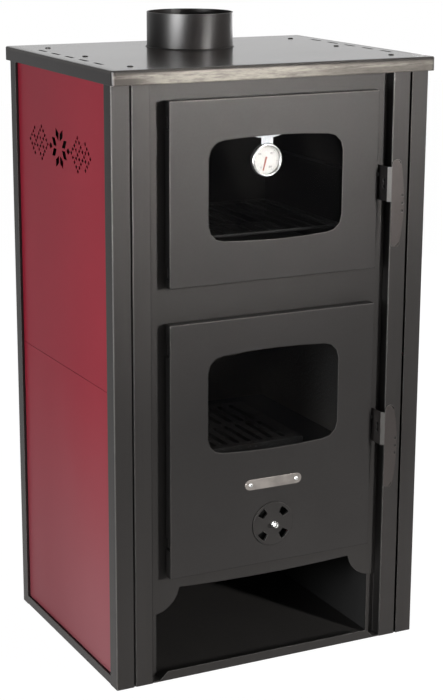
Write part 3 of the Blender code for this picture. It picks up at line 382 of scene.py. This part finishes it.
def dialWhite():
    # A faint glow stands in for the light that a white dial gathers behind its lens.
    look = {"colour": (0.93, 0.93, 0.90), "clouded": (0.87, 0.87, 0.84), "roughness": (0.45, 0.1), "glow": 0.20}
    finish = Finish("dialWhite", {"Specular IOR Level": 0.3, "Emission Strength": look["glow"]})
    clouds = finish.noise(scale=60.0)
    tone = finish.mix(clouds, look["colour"], look["clouded"])
    finish.paint(Base_Color=tone, Emission_Color=tone, Roughness=finish.vary(look["roughness"], clouds))
    return finish.material


def lacquer(name, colour):
    look = {"cloudy": 0.8, "roughness": (0.35, 0.1)}
    finish = Finish(name, {"Specular IOR Level": 0.4})
    clouds = finish.noise(scale=200.0)
    finish.paint(Base_Color=finish.mix(clouds, colour, darker(colour, look["cloudy"])),
                 Roughness=finish.vary(look["roughness"], clouds))
    return finish.material


upright = (6, 6, 0.25)
frontPaint = satinPaint("frontPaint", paintLook)
postPaint = satinPaint("postPaint", {**paintLook, "colour": (0.060, 0.0565, 0.0550)}, upright)
# The doors get a wider painted highlight and painted shade on their edges, with the highlight fainter.
doorPaint = satinPaint("doorPaint", {**paintLook, "colour": (0.056, 0.0530, 0.0520), "lean": 0.0026, "shine": 0.7})
handlePaint = satinPaint("handlePaint", {**paintLook, "colour": (0.088, 0.078, 0.075)})
rivetSteel = platedSteel("rivetSteel", (0.42, 0.42, 0.41), 0.42)
finishes = {
    "red_enamel": redEnamel(),
    "top_steel": topSteel(),
    "black_steel": blackSteel("blackSteel", (0.012, 0.012, 0.012), 0.6),
    "cast_iron": castIron(),
    "firebrick": firebrick(),
    "oven_enamel": ovenEnamel(),
    "clear_glass": clearGlass("clearGlass", (0.006, 0.006, 0.007), 0.10),
    "sealing_rope": sealingRope(),
    "zinc": platedSteel("zincPlate", (0.30, 0.30, 0.29), 0.24),
    "bright_steel": platedSteel("brightSteel", (0.42, 0.42, 0.41), 0.22),
    "dial_white": dialWhite(),
    "pointer_red": lacquer("pointerRed", (0.62, 0.20, 0.15)),
    "dark_paint": frontPaint,
}
# Nodes whose look differs from that of their material slot
ownFinish = {
    "oven_rack": blackSteel("rackSteel", (0.014, 0.014, 0.014), 0.55),
    "flue_spigot": blackSteel("flueSteel", (0.011, 0.0095, 0.009), 0.32),
    "thermometer_bracket": platedSteel("strapSteel", (0.24, 0.25, 0.26), 0.45),
    "thermometer_lens": clearGlass("lensGlass", (0.5, 0.5, 0.5), 0.04),
    "nameplate": nameplateSteel(),
}
for side in ("left", "right"):
    for part in ("front_post_", "rear_post_", "front_stile_"):
        ownFinish[part + side] = postPaint
for door in ("oven", "fire"):
    ownFinish[door + "_door"] = doorPaint
    ownFinish[door + "_handle"] = handlePaint
print("finishes made:", len(bpy.data.materials))


smoothLook = {"weld": 0.00001, "angle": 32}


def smoothSheet():
    # Joins a node's loose triangles and shades it smooth up to its real edges.
    tree = bpy.data.node_groups.new("smoothSheet", "GeometryNodeTree")
    for way in ("INPUT", "OUTPUT"):
        tree.interface.new_socket("Geometry", in_out=way, socket_type="NodeSocketGeometry")
    graph = Graph(tree)
    loose = graph.add("NodeGroupInput")
    joined = graph.add("GeometryNodeMergeByDistance", None, {"Geometry": loose, "Distance": smoothLook["weld"]})
    plain = graph.add("GeometryNodeRemoveAttribute", None, {"Geometry": joined, "Name": "custom_normal"})
    soft = graph.add("GeometryNodeSetShadeSmooth", {"domain": "FACE"}, {"Geometry": plain, "Shade Smooth": True})
    flatEnough = graph.add("GeometryNodeInputMeshEdgeAngle") < radians(smoothLook["angle"])
    done = graph.add("GeometryNodeSetShadeSmooth", {"domain": "EDGE"},
                     {"Geometry": soft, "Shade Smooth": flatEnough})
    graph.add("NodeGroupOutput", None, {"Geometry": done})
    return tree


def dress(obj, material):
    obj.data.materials.clear()
    obj.data.materials.append(material)


smoothing = smoothSheet()
for row in frame["record"]["subparts"]:
    node = row["node"]
    dress(nodes[node], ownFinish.get(node, finishes[row["material_slot"]]))
    nodes[node].modifiers.new("smooth", "NODES").node_group = smoothing
    # Flat faces keep their own normal, so that only the bends are shaded round.
    flats = nodes[node].modifiers.new("flats", "WEIGHTED_NORMAL")
    flats.weight = 100
    flats.keep_sharp = True
print("nodes dressed")


# New pieces
def piece(name, bm, material, body, slot, *replaced):
    bmesh.ops.recalc_face_normals(bm, faces=bm.faces)
    mesh = bpy.data.meshes.new(name)
    bm.to_mesh(mesh)
    bm.free()
    obj = bpy.data.objects.new(name, mesh)
    bpy.context.scene.collection.objects.link(obj)
    dress(obj, material)
    mesh.shade_smooth()
    mesh.set_sharp_from_angle(angle=radians(smoothLook["angle"]))
    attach(obj, body)
    if replaced:
        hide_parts(*replaced)
    return obj


def halves(node):
    # A node's middle, and half of its size along each axis.
    low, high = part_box(node)
    return (low + high) / 2, (high - low) / 2


def turn(bm, profile, steps, place, axis, closed=False):
    # Rings of (radius, distance along the axis); a third number pinches a ring into a cross.
    spread = {"X": lambda a, b, w: (w, a, b), "Y": lambda a, b, w: (a, w, b), "Z": lambda a, b, w: (a, b, w)}[axis]
    rings = []
    for radius, along, *pinch in profile:
        ring = []
        for i in range(steps if radius else 1):
            t = 2 * pi * i / steps
            r = radius * (1 - pinch[0] * abs(sin(2 * t))) if pinch else radius
            ring.append(bm.verts.new(Vector(place) + Vector(spread(r * cos(t), r * sin(t), along))))
        rings.append(ring)
    for near, far in zip(rings, rings[1:] + ([rings[0]] if closed else [])):
        for i in range(steps):
            j = (i + 1) % steps
            corners = [near[i % len(near)], near[j % len(near)], far[j % len(far)], far[i % len(far)]]
            bm.faces.new(list(dict.fromkeys(corners)))


def turned(name, profile, place, axis, body, slot, *replaced, material=None, steps=24):
    bm = bmesh.new()
    turn(bm, profile, steps, place, axis)
    piece(name, bm, material or finishes[slot], body, slot, *replaced)


# Screws, rivets and pins. A dome is a row of (share of its radius, share of its rise).
screwLook = {"rise": 0.45, "shank": 0.5, "dome": ((1, 0), (0.97, 0.35), (0.82, 0.75), (0.62, 0.95)),
             "slot": 0.55, "slotFoot": 0.45, "slotDepth": 0.5, "pinch": 0.72}
pinLook = {"shank": 0.0025, "head": 0.0015, "chamfer": 0.0006, "tip": 0.7,
           "dome": ((1, 1), (1, 0.4), (0.8, 0.1), (0.5, 0))}
handleRivetLook = {"head": 0.0045, "shank": 0.0025, "thick": 0.0015,
                   "dome": ((1, 1), (0.95, 0.6), (0.75, 0.2), (0.4, 0))}
plateRivetLook = {"head": 0.0030, "rise": 0.0018, "shank": 0.0015,
                  "dome": ((1, 0), (0.97, 0.35), (0.80, 0.75), (0.50, 1), (0.30, 1), (0.26, 0))}


def crossHead(radius, rise, base):
    # A domed head from its edge inwards, down into its cross slot.
    look = screwLook
    slot, foot = look["slot"] * radius, base + (1 - look["slotDepth"]) * rise
    head = [(share * radius, base + lift * rise) for share, lift in look["dome"]]
    return head + [(slot, base + rise, look["pinch"]), (look["slotFoot"] * slot, foot, look["pinch"]), (0, foot)]


def linerScrew(node, body):
    place, half = halves(node)
    radius, length, rise, shank = half.x, half.y, screwLook["rise"] * half.x, screwLook["shank"] * half.x
    profile = [(0, -length), (shank, -length), (shank, length - rise)] + crossHead(radius, rise, length - rise)
    turned(node + "Turned", profile, place, "Y", body, "zinc", node)


def hingePin(node, body):
    place, half = halves(node)
    shank, head, end = pinLook["shank"], pinLook["head"], half.z
    profile = [(0, -end), (pinLook["tip"] * shank, -end), (shank, -end + pinLook["chamfer"]), (shank, end - head)]
    profile += [(share * half.x, end - drop * head) for share, drop in pinLook["dome"]] + [(0, end)]
    turned(node + "Turned", profile, place, "Z", body, "zinc", node)


def handleRivet(node, body):
    place, half = halves(node)
    head, shank, thick = [handleRivetLook[key] for key in ("head", "shank", "thick")]
    dome = [(share * head, half.x - drop * thick) for share, drop in handleRivetLook["dome"]] + [(0, half.x)]
    other = [(radius, -along) for radius, along in dome[::-1]]
    profile = other + [(shank, thick - half.x), (shank, half.x - thick)] + dome
    turned(node + "Turned", profile, place, "X", body, "zinc", node)


def plateRivet(node):
    # A pop rivet: a low dome with the hole of its drawn mandrel.
    place, half = halves(node)
    head, rise, shank = [plateRivetLook[key] for key in ("head", "rise", "shank")]
    base = rise - half.y
    profile = [(0, half.y), (shank, half.y), (shank, base)]
    profile += [(share * head, base - lift * rise) for share, lift in plateRivetLook["dome"]] + [(0, base)]
    turned(node + "Turned", profile, place, "Y", "fire_door_body", "bright_steel", node, material=rivetSteel)


for door in ("oven", "fire"):
    doorBody = door + "_door_body"
    for corner in ("lower_left", "lower_right", "upper_left", "upper_right"):
        linerScrew(door + "_door_screw_" + corner, doorBody)
    for level in ("lower", "upper"):
        hingePin(door + "_hinge_pin_" + level, doorBody)
    handleRivet(door + "_handle_rivet", doorBody)
for side in ("left", "right"):
    plateRivet("nameplate_rivet_" + side)
print("fixings turned")


# Air rosette's bolt and nut. The rows are (radius, distance from the bolt's end, or from the collar's front).
boltLook = {"pitch": 0.0008, "outer": 0.0025, "root": 0.0021, "steps": 20,
            "head": ((0, 0), (0.0040, 0), (0.0045, 0.0006), (0.0045, 0.0015), (0.0025, 0.0015)),
            "threadEnd": 0.0040, "threadStart": 0.0012,
            "tip": ((0.9, 0.0004), (0.7, 0), (0.5, 0), (0.35, 0.0005), (0, 0.0005)), "collar": 0.0032,
            "collarRows": ((0.0021, 0), (0.0038, 0), (0.0042, 0.0005), (0.0042, 0.0021), (0.0037, 0.0026),
                           (0.0021, 0.0026))}
nutLook = {"bore": 0.0027, "wide": 0.0043, "narrow": 0.82, "chamfer": 0.0006}


def rosetteBolt():
    look = boltLook
    place, half = halves("rosette_screw")
    fore, back = -half.y, half.y
    profile = [(radius, back - drop) for radius, drop in look["head"]]
    y = back - look["threadEnd"]
    while y > fore + look["threadStart"]:
        profile += [(look["outer"], y), (look["root"], y - look["pitch"] / 2)]
        y -= look["pitch"]
    profile += [(look["outer"] * share, fore + rise) for share, rise in look["tip"]]
    bm = bmesh.new()
    turn(bm, profile, look["steps"], place, "Y")
    collar = [(radius, fore + look["collar"] - drop) for radius, drop in look["collarRows"]]
    turn(bm, collar, 6, place, "Y", closed=True)
    piece("rosetteBolt", bm, finishes["zinc"], "fire_door_body", "zinc", "rosette_screw")


def rosetteNut():
    place, half = halves("rosette_nut")
    bore, wide, end = nutLook["bore"], nutLook["wide"], half.y
    profile = [(bore, -end), (nutLook["narrow"] * wide, -end), (wide, -end + nutLook["chamfer"])]
    profile += [(wide, end), (bore, end)]
    bm = bmesh.new()
    turn(bm, profile, 6, place, "Y", closed=True)
    piece("rosetteHexNut", bm, finishes["zinc"], "fire_door_body", "zinc", "rosette_nut")


rosetteBolt()
rosetteNut()
print("rosette bolt made")


# Flue weld, and the screws that hold the top plate
weldLook = {"radius": 0.0602, "bead": 0.0013, "points": 5, "steps": 90, "wobble": 0.00035, "waves": (31, 7),
            "lift": 0.0001}
plateScrewLook = {"x": 0.190, "fromFront": (0.031, 0.1755, 0.308), "radius": 0.0040, "rise": 0.0011, "lift": 0.0001}


def flueWeld():
    centre = halves("flue_spigot")[0]
    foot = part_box("top_plate")[1].z + weldLook["lift"]
    points, steps, (fast, slow) = weldLook["points"], weldLook["steps"], weldLook["waves"]
    bm = bmesh.new()
    rings = []
    for i in range(steps):
        t = 2 * pi * i / steps
        swell = weldLook["bead"] + weldLook["wobble"] * sin(fast * t) * cos(slow * t)
        ring = []
        for k in range(points):
            a = pi * k / (points - 1) - pi / 4
            r = weldLook["radius"] + max(0, swell * cos(a))
            ring.append(bm.verts.new((centre.x + r * cos(t), centre.y + r * sin(t), foot + max(0, swell * sin(a)))))
        rings.append(ring)
    for i, ring in enumerate(rings):
        last = rings[i - 1]
        for k in range(points):
            bm.faces.new((last[k - 1], last[k], ring[k], ring[k - 1]))
    bmesh.ops.remove_doubles(bm, verts=bm.verts, dist=1e-6)
    piece("flueWeld", bm, ownFinish["flue_spigot"], "stove_body", "black_steel")


def plateScrews():
    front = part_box("front_post_left")[0].y
    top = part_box("top_plate")[1].z + plateScrewLook["lift"]
    profile = [(0, 0)] + crossHead(plateScrewLook["radius"], plateScrewLook["rise"], 0)
    for i, y in enumerate(plateScrewLook["fromFront"]):
        for side, word in ((-1, "Left"), (1, "Right")):
            place = (side * plateScrewLook["x"], front + y, top)
            turned("plateScrew" + word + str(i + 1), profile, place, "Z", "stove_body", "top_steel")


flueWeld()
plateScrews()
print("top plate fitted")


# Oven thermometer: rolled bezel, printed dial
caseLook = {"inset": 0.0004, "chamfer": 0.0006, "roll": 0.0015, "rollDepth": 0.0016, "lip": 0.0030, "seat": 0.0022,
            "wall": 0.001, "rollSteps": 8, "steps": 48}
dialLook = {"ink": (0.03, 0.03, 0.035), "sweep": 290, "marks": 30, "longEvery": 5, "far": 0.92, "lift": 0.00012,
            "longMark": (0.78, 0.00022), "shortMark": (0.84, 0.00012), "film": 0.00005,
            "numbers": ("0", "100", "200", "300"), "digit": 0.0034, "numberRing": 0.60}


def thermometerCase():
    look = caseLook
    place, half = halves("thermometer_case")
    radius, back, front = half.x, half.y, -half.y
    shell, rolled, rollBack = radius - look["inset"], radius - look["roll"], front + look["rollDepth"]
    profile = [(0, back), (radius - look["wall"], back), (shell, back - look["chamfer"]),
               (shell, rollBack + look["inset"])]
    for k in range(look["rollSteps"] + 1):
        a = pi * k / look["rollSteps"]
        profile.append((rolled + look["roll"] * cos(a), rollBack - look["rollDepth"] * sin(a)))
    profile += [(radius - look["lip"], rollBack), (rolled, front + look["seat"]), (rolled, back - look["wall"]),
                (0, back - look["wall"])]
    turned("thermometerCase", profile, place, "Y", "oven_door_body", "bright_steel", "thermometer_case",
           steps=look["steps"])


def dialAngle(share):
    # The scale runs clockwise from the lower left to the lower right.
    return radians(90 + dialLook["sweep"] / 2 - dialLook["sweep"] * share)


def dialPrint():
    look = dialLook
    place, half = halves("thermometer_dial")
    radius, face = half.x, place.y - half.y - look["lift"]
    ink = lacquer("dialInk", look["ink"])
    bm = bmesh.new()
    for i in range(look["marks"] + 1):
        t = dialAngle(i / look["marks"])
        near, wide = look["shortMark"] if i % look["longEvery"] else look["longMark"]
        ring = []
        for share, w in ((near, -wide), (look["far"], -wide), (look["far"], wide), (near, wide)):
            r = radius * share
            ring.append(bm.verts.new((place.x + r * cos(t) - w * sin(t), face, place.z + r * sin(t) + w * cos(t))))
        bm.faces.new(ring)
    printed = piece("dialMarks", bm, ink, "oven_door_body", "dial_white")
    printed.modifiers.new("film", "SOLIDIFY").thickness = look["film"]
    for i, word in enumerate(look["numbers"]):
        t = dialAngle(i / (len(look["numbers"]) - 1))
        r = look["numberRing"] * radius
        text = bpy.data.curves.new("dialNumber" + word, "FONT")
        text.body = word
        text.size = look["digit"]
        text.align_x = "CENTER"
        text.align_y = "CENTER"
        text.materials.append(ink)
        number = bpy.data.objects.new("dialNumber" + word, text)
        bpy.context.scene.collection.objects.link(number)
        number.location = (place.x + r * cos(t), face, place.z + r * sin(t))
        number.rotation_euler = (pi / 2, 0, 0)
        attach(number, "oven_door_body")


thermometerCase()
dialPrint()
print("thermometer finished")


# Light and camera. A lamp that is glossOnly shows in reflections and lights nothing else.
lampLook = {
    "key": {"place": (1.15, -2.45, 0.82), "aim": (0, -0.17, 0.20), "size": (0.15, 0.3), "power": 30.5,
            "colour": (1.0, 0.98, 0.96)},
    "crown": {"place": (0.70, -1.70, 0.98), "aim": (-0.12, -0.17, 0.95), "size": (0.15, 0.15), "power": 2.1,
              "spread": 36, "colour": (1.0, 0.97, 0.94)},
    "fill": {"place": (-2.2, 0.35, 0.18), "aim": (-0.2, 0, 0.30), "size": (0.9, 0.5), "power": 23},
    "side": {"place": (-1.59, -0.76, 0.72), "aim": (0, 0.085, 0.82), "size": (0.9, 0.5), "power": 230,
             "glossOnly": True},
    "gleam": {"place": (0.75, -1.6, 1.25), "aim": (0, 0.085, 0.82), "size": (0.4, 0.4), "power": 40,
              "glossOnly": True},
    "back": {"place": (2.0, 1.7, 0.5), "aim": (0, 0.05, 0.35), "size": (1.0, 0.8), "power": 16},
    "top": {"place": (0.2, 0.1, 2.6), "aim": (0, 0, 0.8), "size": (1.6, 1.6), "power": 5},
}
worldLook = {"ambient": 0.035, "tint": (1.0, 0.985, 0.97)}
floorLook = {"half": 6.0, "drop": 0.0006, "colour": (0.82, 0.82, 0.82), "glowShare": 0.90, "glow": 1.10}
cameraLook = {"place": (-1.0945, -2.1775, 1.0415), "turn": (75.314, -0.260, -26.803), "lens": 91.83}


def raysThatSeeWhite(graph):
    camera, glossy, through = [graph.add("ShaderNodeLightPath", None, None, kind) for kind in
                               ("Is Camera Ray", "Is Glossy Ray", "Is Transmission Ray")]
    return graph.maths("MAXIMUM", graph.maths("MAXIMUM", camera, glossy), through)


def makeWorld():
    world = bpy.data.worlds.new("studio")
    bpy.context.scene.world = world
    world.use_nodes = True
    world.node_tree.nodes.clear()
    graph = Graph(world.node_tree)
    soft = graph.add("ShaderNodeBackground", None, {"Color": worldLook["tint"], "Strength": worldLook["ambient"]})
    white = graph.add("ShaderNodeBackground", None, {"Color": (1, 1, 1), "Strength": 1.0})
    seen = graph.add("ShaderNodeMixShader", None, {0: raysThatSeeWhite(graph), 1: soft, 2: white})
    graph.add("ShaderNodeOutputWorld", None, {"Surface": seen})


def makeFloor():
    bm = bmesh.new()
    bmesh.ops.create_grid(bm, x_segments=1, y_segments=1, size=floorLook["half"])
    mesh = bpy.data.meshes.new("studioFloor")
    bm.to_mesh(mesh)
    bm.free()
    floor = bpy.data.objects.new("studioFloor", mesh)
    floor.location.z = -floorLook["drop"]
    bpy.context.scene.collection.objects.link(floor)
    material = bpy.data.materials.new("paleFloor")
    material.use_nodes = True
    material.node_tree.nodes.clear()
    graph = Graph(material.node_tree)
    lit = graph.add("ShaderNodeBsdfDiffuse", None, {"Color": floorLook["colour"]})
    glow = graph.add("ShaderNodeEmission", None, {"Color": (1, 1, 1), "Strength": floorLook["glow"]})
    share = raysThatSeeWhite(graph) * floorLook["glowShare"]
    mixed = graph.add("ShaderNodeMixShader", None, {0: share, 1: lit, 2: glow})
    graph.add("ShaderNodeOutputMaterial", None, {"Surface": mixed})
    mesh.materials.append(material)


def makeLamp(name, look):
    lamp = bpy.data.lights.new(name, "AREA")
    lamp.shape = "RECTANGLE"
    lamp.size, lamp.size_y = look["size"]
    lamp.energy = look["power"]
    lamp.color = look.get("colour", (1, 1, 1))
    lamp.spread = radians(look.get("spread", 180))
    obj = bpy.data.objects.new(name, lamp)
    bpy.context.scene.collection.objects.link(obj)
    obj.location = look["place"]
    aim = Vector(look["aim"]) - obj.location
    obj.rotation_euler = aim.to_track_quat("-Z", "Y").to_euler()
    obj.visible_camera = False
    obj.visible_diffuse = not look.get("glossOnly", False)


def makeCamera():
    data = bpy.data.cameras.new("camera")
    data.lens = cameraLook["lens"]
    camera = bpy.data.objects.new("camera", data)
    bpy.context.scene.collection.objects.link(camera)
    camera.location = cameraLook["place"]
    camera.rotation_euler = [radians(a) for a in cameraLook["turn"]]
    bpy.context.scene.camera = camera


makeWorld()
makeFloor()
for lampName, look in lampLook.items():
    makeLamp(lampName, look)
makeCamera()
bpy.context.scene.view_settings.view_transform = "Standard"
print("studio ready")
